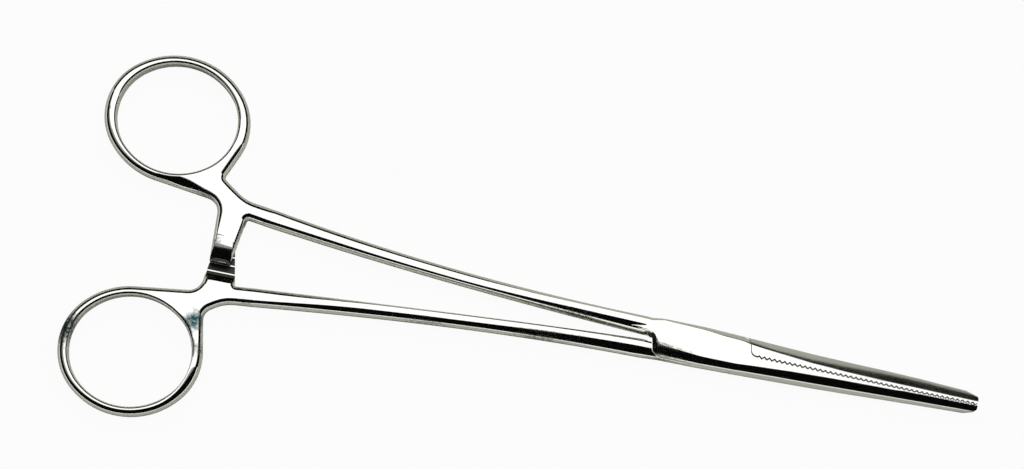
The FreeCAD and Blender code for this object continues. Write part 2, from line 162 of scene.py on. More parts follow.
def only(piece: bpy.types.Object) -> None:
    """Make a piece the only selected object, and the active one.

    Args:
        piece: the piece.
    """
    bpy.ops.object.select_all(action="DESELECT")
    piece.select_set(True)
    bpy.context.view_layer.objects.active = piece


def open_mesh(piece: bpy.types.Object) -> None:
    """Open a piece in edit mode, with all of it selected.

    Args:
        piece: the piece.
    """
    only(piece)
    bpy.ops.object.mode_set(mode="EDIT")
    bpy.ops.mesh.select_all(action="SELECT")


def pick(piece: bpy.types.Object, part: Part, wanted: Callable[[object], bool]) -> None:
    """Select the edges or faces that a test wants, and nothing else, in edit mode.

    Args:
        piece: the open piece.
        part: which parts are tested.
        wanted: says whether an edge or a face is selected.
    """
    bpy.ops.mesh.select_mode(type=part.value)
    bpy.ops.mesh.select_all(action="DESELECT")
    mesh = bmesh.from_edit_mesh(piece.data)
    for item in mesh.edges if part is Part.EDGES else mesh.faces:
        item.select = wanted(item)
    bmesh.update_edit_mesh(piece.data)


def close_mesh() -> None:
    """Leave edit mode."""
    bpy.ops.object.mode_set(mode="OBJECT")


def flat_loop(name: str, corners: list[Vector], filled: bool) -> bpy.types.Object:
    """Add a circle and lay its vertices on a closed line.

    Args:
        name: the new piece's name.
        corners: the line's corners, in order.
        filled: whether the loop carries a face.

    Returns:
        The new piece, a single loop.
    """
    bpy.ops.object.select_all(action="DESELECT")
    fill = "NGON" if filled else "NOTHING"
    bpy.ops.mesh.primitive_circle_add(vertices=len(corners), radius=MM, fill_type=fill)
    piece = bpy.context.object
    piece.name = name
    for vertex, corner in zip(piece.data.vertices, corners):
        vertex.co = corner * MM
    return piece


def raise_rows(piece: bpy.types.Object, rows: list[list[Vector]]) -> None:
    """Extrude a loop or its face row by row, and lay each new row on its own line.

    Args:
        piece: a piece made by flat_loop, whose vertices lie on the first row.
        rows: the rows, the first one included, all with as many corners.
    """
    open_mesh(piece)
    for last, row in zip(rows, rows[1:]):
        bpy.ops.mesh.extrude_region_move(TRANSFORM_OT_translate={"value": (0, 0, 0)})
        tree = KDTree(len(last))
        for index, corner in enumerate(last):
            tree.insert(corner * MM, index)
        tree.balance()
        mesh = bmesh.from_edit_mesh(piece.data)
        for vertex in mesh.verts:
            if vertex.select:
                vertex.co = row[tree.find(vertex.co)[1]] * MM
        bmesh.update_edit_mesh(piece.data)
    close_mesh()


def face_outward(piece: bpy.types.Object) -> None:
    """Merge a piece's doubled vertices and turn its faces outward.

    Args:
        piece: the piece.
    """
    open_mesh(piece)
    bpy.ops.mesh.remove_doubles(threshold=MERGE_DISTANCE)
    bpy.ops.mesh.normals_make_consistent(inside=False)
    close_mesh()


def block(name: str, corners: list[Vector], travel: Vector) -> bpy.types.Object:
    """Return a straight block on a closed flat outline.

    Args:
        name: the block's name.
        corners: the outline's corners, in order.
        travel: how far and which way the outline is extruded.

    Returns:
        The block, with its faces outward.
    """
    piece = flat_loop(name, corners, True)
    open_mesh(piece)
    bpy.ops.mesh.extrude_region_move(TRANSFORM_OT_translate={"value": travel * MM})
    close_mesh()
    face_outward(piece)
    return piece


def combine(piece: bpy.types.Object, other: bpy.types.Object, joining: Joining) -> None:
    """Combine a piece with another, which is used up.

    Args:
        piece: the piece that stays.
        other: the piece that is used up.
        joining: how the two are combined.
    """
    only(piece)
    bpy.ops.object.modifier_add(type="BOOLEAN")
    modifier = piece.modifiers[-1]
    modifier.operation = joining.value
    modifier.solver = "EXACT"
    modifier.object = other
    bpy.ops.object.modifier_apply(modifier=modifier.name)
    bpy.data.objects.remove(other)


@dataclass
class Corner:
    """A corner of a flat line, rounded with a radius; 0 keeps it sharp."""

    x: float
    y: float
    radius: float = 0.0

    def place(self) -> Vector:
        """Return where the corner is."""
        return Vector((self.x, self.y, 0))

    def turned(self) -> "Corner":
        """Return the corner turned half a turn about the pivot."""
        return Corner(-self.x, -self.y, self.radius)


@dataclass
class Spot:
    """A point of an outline, the way into the metal there, and its flank."""

    place: Vector
    inward: Vector
    rise: float = 0.0
    sink: float = 0.0
    half_height: float = 0.0
    turn: float = math.pi


@dataclass
class Line:
    """A flat line of straight runs and rounded corners, with the metal on its left."""

    step: float = 1.2
    arc_step: float = math.radians(9)

    def run(self, start: Vector, stop: Vector) -> list[Spot]:
        """Return spots along a straight run, with its start but not its stop.

        Args:
            start: where the run starts.
            stop: where it ends.

        Returns:
            The spots, about a step apart.
        """
        travel = stop - start
        parts = max(1, round(travel.length / self.step))
        inward = left_of(travel.normalized())
        return [Spot(start + travel * part / parts, inward) for part in range(parts)]

    def bend(self, before: Vector, corner: Corner, after: Vector) -> tuple[Vector, list[Spot], Vector]:
        """Round one corner.

        Args:
            before: where the line comes from.
            corner: the corner with its radius.
            after: where the line goes.

        Returns:
            Where the arc begins, its spots without its end, and where it ends.
        """
        point = corner.place()
        back = (before - point).normalized()
        ahead = (after - point).normalized()
        half = back.angle(ahead) / 2
        run = corner.radius / math.tan(half)
        centre = point + (back + ahead).normalized() * corner.radius / math.sin(half)
        begin = point + back * run
        end = point + ahead * run
        first = begin - centre
        turn = math.pi - 2 * half
        side = 1 if back.cross(ahead).z < 0 else -1
        parts = max(2, round(turn / self.arc_step))
        spots = []
        for part in range(parts):
            spoke = Matrix.Rotation(side * turn * part / parts, 3, "Z") @ first
            spots.append(Spot(centre + spoke, spoke.normalized() * -side))
        return begin, spots, end

    def along(self, corners: list[Corner]) -> list[Spot]:
        """Return the spots of a whole line, with its last corner.

        Args:
            corners: the line's corners, in order.

        Returns:
            The spots, in the same order.
        """
        spots = []
        start = corners[0].place()
        for before, corner, after in zip(corners, corners[1:], corners[2:]):
            if corner.radius == 0:
                spots += self.run(start, corner.place())
                start = corner.place()
                continue
            begin, arc, end = self.bend(before.place(), corner, after.place())
            spots += self.run(start, begin) + arc
            start = end
        spots += self.run(start, corners[-1].place())
        spots.append(Spot(corners[-1].place(), spots[-1].inward))
        return spots


@dataclass
class Ring:
    """An oval finger ring on the +Y side, made of four arcs."""

    x: float
    y: float
    end_band: float
    hole_length: float = 26.9
    hole_width: float = 24.4
    side_band: float = 2.05
    tilt: float = math.radians(4.5)
    spots_round: int = 96

    def normal(self, angle: float) -> Vector:
        """Return the unit vector at an angle from the ring's long axis."""
        return flat_unit(math.cos(angle - self.tilt), math.sin(angle - self.tilt))

    def point(self, grow_end: float, grow_side: float, angle: float) -> Vector:
        """Return the point of the grown hole's oval whose normal has that angle.

        Args:
            grow_end: how much longer the hole is at either end.
            grow_side: how much wider it is at either side.
            angle: the normal's angle from the ring's long axis.

        Returns:
            The point.
        """
        half_length = self.hole_length / 2 + grow_end
        half_width = self.hole_width / 2 + grow_side
        change = (half_length - half_width) / math.sqrt(2)
        centre = Vector((self.x, self.y, 0))
        if abs(math.cos(angle)) > abs(math.sin(angle)):
            radius = half_width - change
            centre += self.normal(0) * (half_length - radius) * math.copysign(1, math.cos(angle))
        else:
            radius = half_length + change
            centre += self.normal(math.pi / 2) * (half_width - radius) * math.copysign(1, math.sin(angle))
        return centre + self.normal(angle) * radius

    def outside(self, start: float, stop: float) -> list[Spot]:
        """Return spots of the outer oval between two angles, without the last.

        Args:
            start: the first angle.
            stop: the angle that the run ends before.

        Returns:
            The spots, in order.
        """
        parts = round((stop - start) / (2 * math.pi) * self.spots_round)
        angles = [start + (stop - start) * part / parts for part in range(parts)]
        return [Spot(self.point(self.end_band, self.side_band, angle), -self.normal(angle))
                for angle in angles]

    def hole(self) -> list[Spot]:
        """Return spots of the finger hole, all the way round."""
        angles = [2 * math.pi * part / self.spots_round for part in range(self.spots_round)]
        return [Spot(self.point(0, 0, angle), self.normal(angle)) for angle in angles]


@dataclass
class Swell:
    """A stretch of an outline where the flank grows wider."""

    x: float
    y: float
    reach: float
    more: float

    def at(self, place: Vector) -> float:
        """Return how much wider the flank is at a place."""
        distance = (place - Vector((self.x, self.y, 0))).length
        return blend(self.more, 0, distance / self.reach)


@dataclass
class Handle:
    """Ring, neck, ratchet bar and shank of an arm, all given for an arm on the +Y side."""

    name: str
    ring: Ring
    line: tuple[float, float, float, float]
    end_thickness: float
    meet_angle: float
    notch_y: float
    notch_radius: float
    bar_inner_x: float
    bar_inner_end_x: float
    swells: list[Swell] = field(default_factory=list)
    hole_swells: list[Swell] = field(default_factory=list)
    thickness: float = 4.3
    neck_x: float = -97.0
    shank_end_x: float = -13.0
    shank_widths: tuple[float, float, float, float] = (3.95, 2.85, 2.85, 4.0)
    far_flat: float = 0.5
    near_flat: float = 0.5
    far_end_flat: float = 1.2
    near_end_flat: float = -0.2
    far_turn: float = math.pi
    near_turn: float = math.radians(27)
    shank_half_side: float = 0.55
    shank_parts: int = 48
    neck_share: float = 0.3
    thicken_share: float = 0.4
    widen_share: float = 0.5
    dive: float = 6.5
    dive_width: float = 3.2
    leave_angle: float = math.radians(266.9)
    slope_radius: float = 3.2
    shoulder_fall: float = math.radians(34)
    shoulder_radius: float = 8.0
    bar_outer_x: float = -109.5
    bar_outer_end_x: float = -108.3
    bar_corner_radius: float = 0.5
    bar_reach: float = 2.4
    edge_rise: float = 1.6
    edge_sink: float = 1.27
    edge_break: float = math.radians(12)
    hole_rise: float = 0.85
    hole_sink: float = 0.7
    rows: int = 9

    def shank_point(self, share: float) -> Vector:
        """Return a point of the shank's centre line.

        Args:
            share: the share of the shank's length.

        Returns:
            The point.
        """
        third = (self.shank_end_x - self.neck_x) / 3
        along = (self.neck_x, self.neck_x + third, self.shank_end_x - third, self.shank_end_x)
        return Vector((bezier(along, share), bezier(self.line, share), 0))

    def shank_direction(self, share: float) -> Vector:
        """Return the direction of the shank's centre line, toward the lock."""
        step = 0.001
        return (self.shank_point(share + step) - self.shank_point(share - step)).normalized()

    def shank_spot(self, share: float, side: int) -> Spot:
        """Return a spot of one side of the shank.

        Args:
            share: the share of the shank's length.
            side: 1 for the side away from the other arm, -1 for the other.

        Returns:
            The spot with its flank.
        """
        low = self.thickness / 2
        thicken = (share - self.thicken_share) / (1 - self.thicken_share)
        widen = (share - self.widen_share) / (1 - self.widen_share)
        half_width = bezier(self.shank_widths, share) / 2
        half_height = blend(low, self.end_thickness / 2, thicken)
        flat, end_flat, turn = self.near_flat, self.near_end_flat, self.near_turn
        if side > 0:
            flat, end_flat, turn = self.far_flat, self.far_end_flat, self.far_turn
        reach = blend(half_width - self.edge_sink, flat, share / self.neck_share)
        reach = blend(reach, end_flat, widen)
        half_side = blend(low - self.edge_rise, self.shank_half_side, share / self.neck_share)
        across = left_of(self.shank_direction(share)) * side
        place = self.shank_point(share) + across * half_width
        return Spot(place, -across, half_height - half_side, half_width - reach, half_height, turn)

    def dive_spot(self, side: int) -> Spot:
        """Return a corner of the shank's hidden end inside the lock.

        Args:
            side: 1 for the side away from the other arm, -1 for the other.

        Returns:
            The spot with its flank.
        """
        across = Vector((0, side, 0))
        place = self.shank_point(1) + Vector((self.dive, 0, 0)) + across * self.dive_width / 2
        half_height = self.end_thickness / 2 - 2 * PROUD
        end_flat = self.far_end_flat if side > 0 else self.near_end_flat
        sink = self.dive_width / 2 - end_flat * self.dive_width / self.shank_widths[3]
        return Spot(place, -across, half_height - self.shank_half_side, sink, half_height, self.near_turn)

    def neck_edge(self, spots: list[Spot]) -> list[Spot]:
        """Give spots of the ring, neck or bar their flank, and return them.

        Args:
            spots: spots without a flank.

        Returns:
            The same spots.
        """
        for spot in spots:
            spot.rise = self.edge_rise
            more = sum(swell.at(spot.place) for swell in self.swells)
            spot.sink = self.edge_sink + more
            spot.half_height = self.thickness / 2
            spot.turn = math.atan2(spot.rise, spot.sink) - self.edge_break
        return spots

    def outline(self) -> list[Spot]:
        """Return the whole outline, with the metal on its left.

        Returns:
            The spots, each with its flank.
        """
        ring = self.ring
        leave = ring.point(ring.end_band, ring.side_band, self.leave_angle)
        meet = ring.point(ring.end_band, ring.side_band, self.meet_angle)
        leave_direction = left_of(ring.normal(self.leave_angle))
        meet_direction = left_of(ring.normal(self.meet_angle))
        notch = meet + meet_direction * ((self.notch_y - meet.y) / meet_direction.y)

        end = self.shank_point(0)
        forward = self.shank_direction(0)
        end_high = self.shank_spot(0, 1).place
        end_low = self.shank_spot(0, -1).place
        fall = flat_unit(math.cos(self.shoulder_fall), -math.sin(self.shoulder_fall))
        shoulder = crossing(end_high, forward, notch, fall)

        bar_outer = Vector((self.bar_outer_x, end.y, 0))
        bar_inner = Vector((self.bar_inner_x, end.y, 0))
        outer_end = Vector((self.bar_outer_end_x, -self.bar_reach, 0))
        inner_end = Vector((self.bar_inner_end_x, -self.bar_reach, 0))
        slope = crossing(leave, leave_direction, bar_outer, outer_end - bar_outer)
        inner = crossing(end_low, forward, bar_inner, inner_end - bar_inner)

        line = Line()
        outer_side = line.along([Corner(leave.x, leave.y), Corner(slope.x, slope.y, self.slope_radius),
                                 Corner(outer_end.x, outer_end.y)])
        outer_side[-1].inward = flat_unit(1, 0)
        inner_side = line.along([Corner(inner_end.x, inner_end.y),
                                 Corner(inner.x, inner.y, self.bar_corner_radius),
                                 Corner(end_low.x, end_low.y)])[:-1]
        inner_side[0].inward = flat_unit(-1, 0)
        high_side = line.along([Corner(end_high.x, end_high.y),
                                Corner(shoulder.x, shoulder.y, self.shoulder_radius),
                                Corner(notch.x, notch.y, self.notch_radius),
                                Corner(meet.x, meet.y)])[1:-1]
        shares = [part / self.shank_parts for part in range(self.shank_parts + 1)]
        low_shank = [self.shank_spot(share, -1) for share in shares]
        high_shank = [self.shank_spot(share, 1) for share in reversed(shares)]
        around = ring.outside(self.meet_angle, self.leave_angle)
        spots = self.neck_edge(outer_side + inner_side)
        spots += low_shank + [self.dive_spot(-1), self.dive_spot(1)] + high_shank
        return spots + self.neck_edge(high_side + around)

    def hole(self) -> list[Spot]:
        """Return the finger hole's outline with its flank.

        Returns:
            The spots, each with its flank.
        """
        spots = self.ring.hole()
        for spot in spots:
            spot.rise = self.hole_rise
            more = sum(swell.at(spot.place) for swell in self.hole_swells)
            spot.sink = self.hole_sink + more
            spot.half_height = self.thickness / 2
        return spots

    def rows_of(self, spots: list[Spot]) -> list[list[Vector]]:
        """Return the rows of the wall on an outline, from the lower flat to the upper one.

        Args:
            spots: the outline's spots, each with its flank.

        Returns:
            The rows, each with a corner for every spot.
        """
        flanks = [arc_rows(spot.rise, spot.sink, self.rows, spot.turn) for spot in spots]
        rows = []
        for row in range(self.rows, -1, -1):
            rows.append([self.raised(spot, flank[row], -1) for spot, flank in zip(spots, flanks)])
        for row in range(self.rows + 1):
            rows.append([self.raised(spot, flank[row], 1) for spot, flank in zip(spots, flanks)])
        return rows

    def raised(self, spot: Spot, step: tuple[float, float], side: int) -> Vector:
        """Return a spot moved inward and up (or down) from the middle of its side."""
        height = spot.half_height - spot.rise + step[1]
        return spot.place + spot.inward * step[0] + Vector((0, 0, MIDDLE + side * height))

    def build(self) -> bpy.types.Object:
        """Return the closed mesh of ring, neck, bar and shank.

        Returns:
            The piece.
        """
        walls = []
        for name, spots in ((self.name, self.outline()), (self.name + "_hole", self.hole())):
            rows = self.rows_of(spots)
            wall = flat_loop(name, rows[0], False)
            raise_rows(wall, rows)
            walls.append(wall)
        only(walls[0])
        walls[1].select_set(True)
        bpy.ops.object.join()
        piece = bpy.context.object
        for side in (-1, 1):
            self.fill_flat(piece, side)
        face_outward(piece)
        return piece

    def fill_flat(self, piece: bpy.types.Object, side: int) -> None:
        """Close the upper (1) or lower (-1) flat: first along the shank, then the rest.

        Args:
            piece: the walls of outline and hole.
            side: 1 for the upper flat, -1 for the lower one.
        """
        open_mesh(piece)
        self.select_open_edges(piece, side, True)
        bpy.ops.mesh.bridge_edge_loops()
        self.select_open_edges(piece, side, False)
        bpy.ops.mesh.fill(use_beauty=True)
        close_mesh()

    def select_open_edges(self, piece: bpy.types.Object, side: int, shank: bool) -> None:
        """Select the open edges of one flat, of the shank's two sides alone or all of them.

        Args:
            piece: the walls, in edit mode.
            side: 1 for the upper flat, -1 for the lower one.
            shank: whether only the shank's two sides are wanted.
        """
        start = self.shank_point(0)
        forward = self.shank_direction(0)
        end_x = self.shank_end_x + self.dive - PROUD

        def wanted(edge: bmesh.types.BMEdge) -> bool:
            """Say whether an edge is one of them.

            Args:
                edge: an edge of the walls.

            Returns:
                Whether it is open, on this flat and, where only those are wanted, along the shank.
            """
            places = [vertex.co / MM for vertex in edge.verts]
            on_flat = edge.is_boundary and (places[0].z - MIDDLE) * side > 0
            if not (on_flat and shank):
                return on_flat
            past_neck = all((place - start).dot(forward) > -PROUD for place in places)
            return past_neck and not all(place.x > end_x for place in places)

        pick(piece, Part.EDGES, wanted)


@dataclass
class Ratchet:
    """The catch: what is cut behind each bar, and the curved wedge ground off its face.

    Each tooth rises away from the bar's end and drops steeply, so shut arms can't spring open.
    """

    teeth: int = 4
    pitch: float = 1.85
    depth: float = 0.45
    land: float = 0.25
    gap: float = 0.1
    floor: float = 0.5
    runout: float = 1.7
    end: float = -2.4
    nose_length: float = 5.6
    nose_drop: float = 1.2
    nose_parts: int = 12
    outer_x: float = -116.0
    inner_x: float = -97.4

    def cut(self, piece: bpy.types.Object, handle: Handle) -> None:
        """Cut the teeth and the nose into the bar of a handle on the +Y side.

        Args:
            piece: the handle's mesh.
            handle: the handle's sizes.
        """
        end = self.end
        crest = MIDDLE + self.gap / 2
        root = crest + self.depth
        face = MIDDLE - handle.thickness / 2
        teeth = [(end - self.pitch, -face), (end - self.pitch, root), (end, root)]
        for tooth in range(1, self.teeth + 1):
            drop = end + tooth * self.pitch
            teeth += [(drop - self.land, crest), (drop, crest), (drop, root)]
        floor_end = end + self.teeth * self.pitch + self.floor
        teeth += [(floor_end, root), (floor_end + self.runout, face), (floor_end + self.runout, -face)]
        top = MIDDLE + handle.thickness / 2
        start = end + self.nose_length
        shares = [part / self.nose_parts for part in range(self.nose_parts + 2)]
        wedge = [(start - share * self.nose_length, top - self.nose_drop * share**2) for share in shares]
        wedge += [(wedge[-1][0], top + self.nose_drop), (start, top + self.nose_drop)]
        for profile in (teeth, wedge):
            corners = [Vector((self.outer_x, y, z)) for y, z in profile]
            cutter = block("ratchet_cutter", corners, Vector((self.inner_x - self.outer_x, 0, 0)))
            combine(piece, cutter, Joining.REMOVE)


@dataclass
class Station:
    """A section of the shut lock and jaws, from its -Y side over the flat to its +Y side."""

    x: float
    low_side: float
    low_flat: float
    high_flat: float
    high_side: float
    thickness: float


@dataclass
class LockAndJaws:
    """The box lock with the shut, serrated jaws, and the spaces that part them into two arms."""

    stations: tuple[Station, ...] = (
        Station(-17.0, -3.5, -1.3, 2.4, 3.5, 4.0),
        Station(-9.0, -4.7, -0.95, 3.8, 4.45, 5.5),
        Station(0.0, -4.65, -1.95, 3.45, 4.45, 5.5),
        Station(8.0, -4.5, -2.1, 2.65, 4.15, 5.5),
        Station(16.0, -4.3, -1.6, 1.6, 3.72, 5.45),
        Station(24.0, -4.08, -1.2, 0.85, 3.33, 5.3),
        Station(32.0, -3.8, -0.95, 0.45, 3.1, 5.05),
        Station(40.0, -3.45, -0.9, 0.2, 2.95, 4.75),
        Station(48.0, -3.12, -0.9, 0.12, 2.7, 4.4),
        Station(61.3, -2.65, -0.8, -0.05, 2.0, 3.7),
    )
    half_side: float = 0.3
    low_flank_turn: float = math.radians(35)
    high_flank_break: float = math.radians(31)
    high_flank_least_turn: float = math.radians(9)
    rows: int = 7
    half_width: float = 4.35
    cheek_end_x: float = 10.9
    cheek_corner_x: float = 10.2
    cheek_corner_y: float = 3.2
    rim_slope: float = math.radians(33)
    end_radius: float = 1.2
    root_x: float = 14.0
    root_y: float = 1.5
    cheek_gap: float = 0.16
    cheek_bevel: float = 0.9
    shoulder_gap: float = 0.2
    slot_half_width: float = 7.95
    slot_turn: float = math.radians(46)
    slot_side_gap: float = 0.12
    tongue_thickness: float = 2.0
    tongue_gap: float = 0.08
    tip_x: float = 61.3
    tip_half_width: float = 2.33
    tip_end_half_width: float = 1.5
    jaw_drop: float = 0.32
    tip_bevel: float = 2.6
    tip_rounding: float = 0.5
    tooth_pitch: float = 1.13
    tooth_depth: float = 0.5
    tooth_start_x: float = 12.4
    teeth_fall: float = 0.5
    fall_length: float = 36.0
    root_gap: float = 0.42
    tip_gap: float = 0.4

    def section(self, station: Station) -> list[Vector]:
        """Return the corners of one section, all the way round.

        Args:
            station: the section's sizes.

        Returns:
            The corners, in order.
        """
        rise = station.thickness / 2 - self.half_side
        sink = station.high_side - station.high_flat
        turn = max(math.atan2(rise, sink) - self.high_flank_break, self.high_flank_least_turn)
        high = arc_rows(rise, sink, self.rows, turn)
        low = arc_rows(rise, station.low_flat - station.low_side, self.rows, self.low_flank_turn)
        corners = []
        for side, level in ((1, 1), (1, -1), (-1, -1), (-1, 1)):
            flank = high if side > 0 else low
            edge = station.high_side if side > 0 else station.low_side
            steps = flank if side * level < 0 else flank[::-1]
            for inward, upward in steps:
                corners.append(Vector((station.x, edge - side * inward,
                                       MIDDLE + level * (self.half_side + upward))))
        return corners

    def bar(self) -> bpy.types.Object:
        """Return the lock and jaws as one tapering bar, not yet parted.

        Returns:
            The closed bar.
        """
        rows = [self.section(station) for station in self.stations]
        piece = flat_loop("lock_bar", rows[0], True)
        raise_rows(piece, rows)
        face_outward(piece)
        return piece

    def cheek_edge(self, gap: float) -> list[Corner]:
        """Return the corners of the cheeks' right end, moved outward by a gap.

        Args:
            gap: how far the edge is moved outward.

        Returns:
            The corners, from the far side inward.
        """
        shift = gap * (1 - math.sin(self.rim_slope)) / math.cos(self.rim_slope)
        corner = Corner(self.cheek_corner_x + gap, self.cheek_corner_y + shift, self.end_radius)
        rise = 2 * self.half_width - corner.y
        outside = Corner(corner.x - rise / math.tan(self.rim_slope), corner.y + rise)
        return [outside, corner, Corner(self.cheek_end_x + gap, shift, self.end_radius)]

    def closing_line(self, side: int) -> list[Corner]:
        """Return the corners of one jaw's teeth: 1 is the upper jaw, -1 the lower.

        Args:
            side: 1 for the upper jaw, -1 for the lower one.

        Returns:
            The corners, from the root to the tip.
        """
        length = self.tip_x - self.tooth_start_x

        def tooth_corner(x: float, wave: int) -> Corner:
            """Return a corner of the zigzag, on its own side of the narrowing gap.

            Args:
                x: where on the line it is.
                wave: 1 for a high corner, -1 for a low one, or 0.

            Returns:
                The corner.
            """
            share = (x - self.tooth_start_x) / length
            gap = self.root_gap + (self.tip_gap - self.root_gap) * share
            middle = -self.teeth_fall * min((x - self.tooth_start_x) / self.fall_length, 1)
            return Corner(x, middle + wave * self.tooth_depth / 2 + side * gap / 2)

        corners = [tooth_corner(self.tooth_start_x, 0)]
        teeth = int(length / self.tooth_pitch)
        for tooth in range(teeth):
            foot = self.tooth_start_x + tooth * self.tooth_pitch
            corners.append(tooth_corner(foot + self.tooth_pitch / 4, 1))
            corners.append(tooth_corner(foot + self.tooth_pitch * 3 / 4, -1))
        corners.append(tooth_corner(self.tooth_start_x + teeth * self.tooth_pitch, 0))
        corners.append(tooth_corner(self.tip_x, 0))
        return corners

    def tip_end(self, side: int) -> list[Corner]:
        """Return the corners round one jaw's blunt tip, outward from the teeth.

        Args:
            side: 1 for the upper jaw, -1 for the lower one.

        Returns:
            The corners, in order.
        """
        wide = side * (self.tip_half_width + PROUD)
        taper = (self.tip_half_width - self.tip_end_half_width) / self.tip_bevel
        beyond = FAR - self.tip_end_half_width
        return [Corner(self.tip_x, side * self.tip_end_half_width - self.jaw_drop, self.tip_rounding),
                Corner(self.tip_x - self.tip_bevel, wide - self.jaw_drop),
                Corner(self.tip_x - self.tip_bevel - taper, side * beyond)]

    def space(self, name: str, corners: list[Corner]) -> bpy.types.Object:
        """Return the block over a closed rounded outline, a little taller than the lock.

        Args:
            name: the block's name.
            corners: the outline's corners, in order.

        Returns:
            The block.
        """
        line = Line(step=FAR)
        spots = line.along(corners + [Corner(corners[0].x, corners[0].y)])[:-1]
        places = [spot.place + Vector((0, 0, -PROUD)) for spot in spots]
        return block(name, places, Vector((0, 0, LOCK_THICKNESS + 2 * PROUD)))

    def cheek_space(self) -> bpy.types.Object:
        """Return the space of the cheeks and the lower jaw, bevelled at the cheeks' left end.

        Returns:
            The block.
        """
        corners = self.cheek_edge(0) + self.closing_line(-1) + self.tip_end(-1)
        corners += [Corner(0, -FAR)] + [corner.turned() for corner in self.cheek_edge(0)]
        corners += [Corner(-self.root_x, self.root_y), Corner(-2 * self.root_x, self.root_y)]
        corners += [Corner(-2 * self.root_x, FAR)]
        piece = self.space("cheek_space", corners)
        open_mesh(piece)
        pick(piece, Part.EDGES, self.at_cheek_end)
        bpy.ops.mesh.bevel(offset=(self.cheek_bevel + PROUD) * MM, segments=1, affect="EDGES")
        close_mesh()
        return piece

    def at_cheek_end(self, edge: bmesh.types.BMEdge) -> bool:
        """Say whether an edge is a flat one of the cheeks' left end.

        Args:
            edge: an edge of the cheeks' space.

        Returns:
            Whether it gets the bevel.
        """
        first, last = (vertex.co / MM for vertex in edge.verts)
        middle = (first + last) / 2
        flat = abs(first.z - last.z) < 2 * PROUD
        return flat and -self.root_x < middle.x < 0 and -FAR < middle.y < self.root_y - PROUD

    def jaw_space(self) -> bpy.types.Object:
        """Return the space of the upper jaw."""
        corners = self.cheek_edge(self.cheek_gap) + self.closing_line(1) + self.tip_end(1)
        return self.space("jaw_space", corners)

    def beyond_shoulder(self) -> bpy.types.Object:
        """Return the space right of the inner arm's shoulder, which its shank stays out of.

        Returns:
            The block.
        """
        corners = [corner.turned() for corner in self.cheek_edge(self.shoulder_gap)]
        corners += [Corner(-self.root_x, FAR), Corner(FAR, FAR), Corner(FAR, -FAR)]
        return self.space("shoulder_space", corners)

    def slot(self, half_width: float, thickness: float) -> bpy.types.Object:
        """Return the slanted slab through the lock, as the tongue or the slot for it.

        Args:
            half_width: half the slab's width.
            thickness: how thick it is.

        Returns:
            The slab.
        """
        bpy.ops.object.select_all(action="DESELECT")
        bpy.ops.mesh.primitive_cube_add(size=1, location=(0, 0, MIDDLE * MM),
                                        scale=(2 * FAR * MM, 2 * half_width * MM, thickness * MM))
        piece = bpy.context.object
        piece.rotation_euler.z = self.slot_turn
        bpy.ops.object.transform_apply(location=True, rotation=True, scale=True)
        return piece

    def cheeks(self) -> bpy.types.Object:
        """Return the slotted arm's share of the lock, and the lower jaw.

        Returns:
            The piece.
        """
        piece = self.bar()
        combine(piece, self.cheek_space(), Joining.COMMON)
        return piece

    def inner_head(self) -> bpy.types.Object:
        """Return the tongue and the upper jaw.

        Returns:
            The piece.
        """
        space = self.jaw_space()
        half_width = self.slot_half_width - self.slot_side_gap
        combine(space, self.slot(half_width, self.tongue_thickness), Joining.ADD)
        head = self.bar()
        combine(head, space, Joining.COMMON)
        return head


@dataclass
class Pin:
    """The pivot pin, ground flush with both faces of the lock."""

    radius: float = 1.5
    running_gap: float = 0.04
    sides: int = 96
    rim: float = 0.03
    end_normal: float = 0.5

    def rod(self, radius: float, length: float) -> bpy.types.Object:
        """Return a plain rod on the pivot axis, centred on the lock.

        Args:
            radius: the rod's radius.
            length: how long it is.

        Returns:
            The rod.
        """
        bpy.ops.object.select_all(action="DESELECT")
        bpy.ops.mesh.primitive_cylinder_add(vertices=self.sides, radius=radius * MM,
                                            depth=length * MM, location=(0, 0, MIDDLE * MM))
        piece = bpy.context.object
        bpy.ops.object.transform_apply(location=True, rotation=True, scale=True)
        return piece

    def build(self) -> bpy.types.Object:
        """Return the pin, with a fine bevel where each end meets its bore.

        Returns:
            The pin.
        """
        piece = self.rod(self.radius, LOCK_THICKNESS)
        piece.name = "flush_pin"
        open_mesh(piece)
        pick(piece, Part.FACES, lambda face: abs(face.normal.z) > self.end_normal)
        bpy.ops.mesh.bevel(offset=self.rim * MM, segments=2, affect="EDGES")
        close_mesh()
        return piece


def new_material(name: str) -> bpy.types.Material:
    """Return a new material with nothing but its plain shader.

    Args:
        name: the material's name.

    Returns:
        The material.
    """
    material = bpy.data.materials.new(name)
    material.use_nodes = True
    return material


def shader_of(material: bpy.types.Material) -> bpy.types.Node:
    """Return a material's own shader."""
    return material.node_tree.nodes["Principled BSDF"]


def set_inputs(node: bpy.types.Node, values: dict) -> None:
    """Set a node's inputs, each by its name or number, to plain values."""
    for key, value in values.items():
        node.inputs[key].default_value = value


def feed(material: bpy.types.Material, node: bpy.types.Node, feeds: dict) -> None:
    """Join other nodes' outputs to a node's inputs, each by its name or number."""
    for key, output in feeds.items():
        material.node_tree.links.new(output, node.inputs[key])


def add_node(material: bpy.types.Material, kind: str, values: dict | None = None,
             feeds: dict | None = None, **settings: str) -> bpy.types.Node:
    """Add a node to a material.

    Args:
        material: the material.
        kind: the node's type, without the word that all of them begin with.
        values: the inputs with a plain value.
        feeds: the inputs that an output feeds.
        settings: the node's own settings, such as its operation.

    Returns:
        The node.
    """
    node = material.node_tree.nodes.new("ShaderNode" + kind)
    for key, value in settings.items():
        setattr(node, key, value)
    set_inputs(node, values or {})
    feed(material, node, feeds or {})
    return node


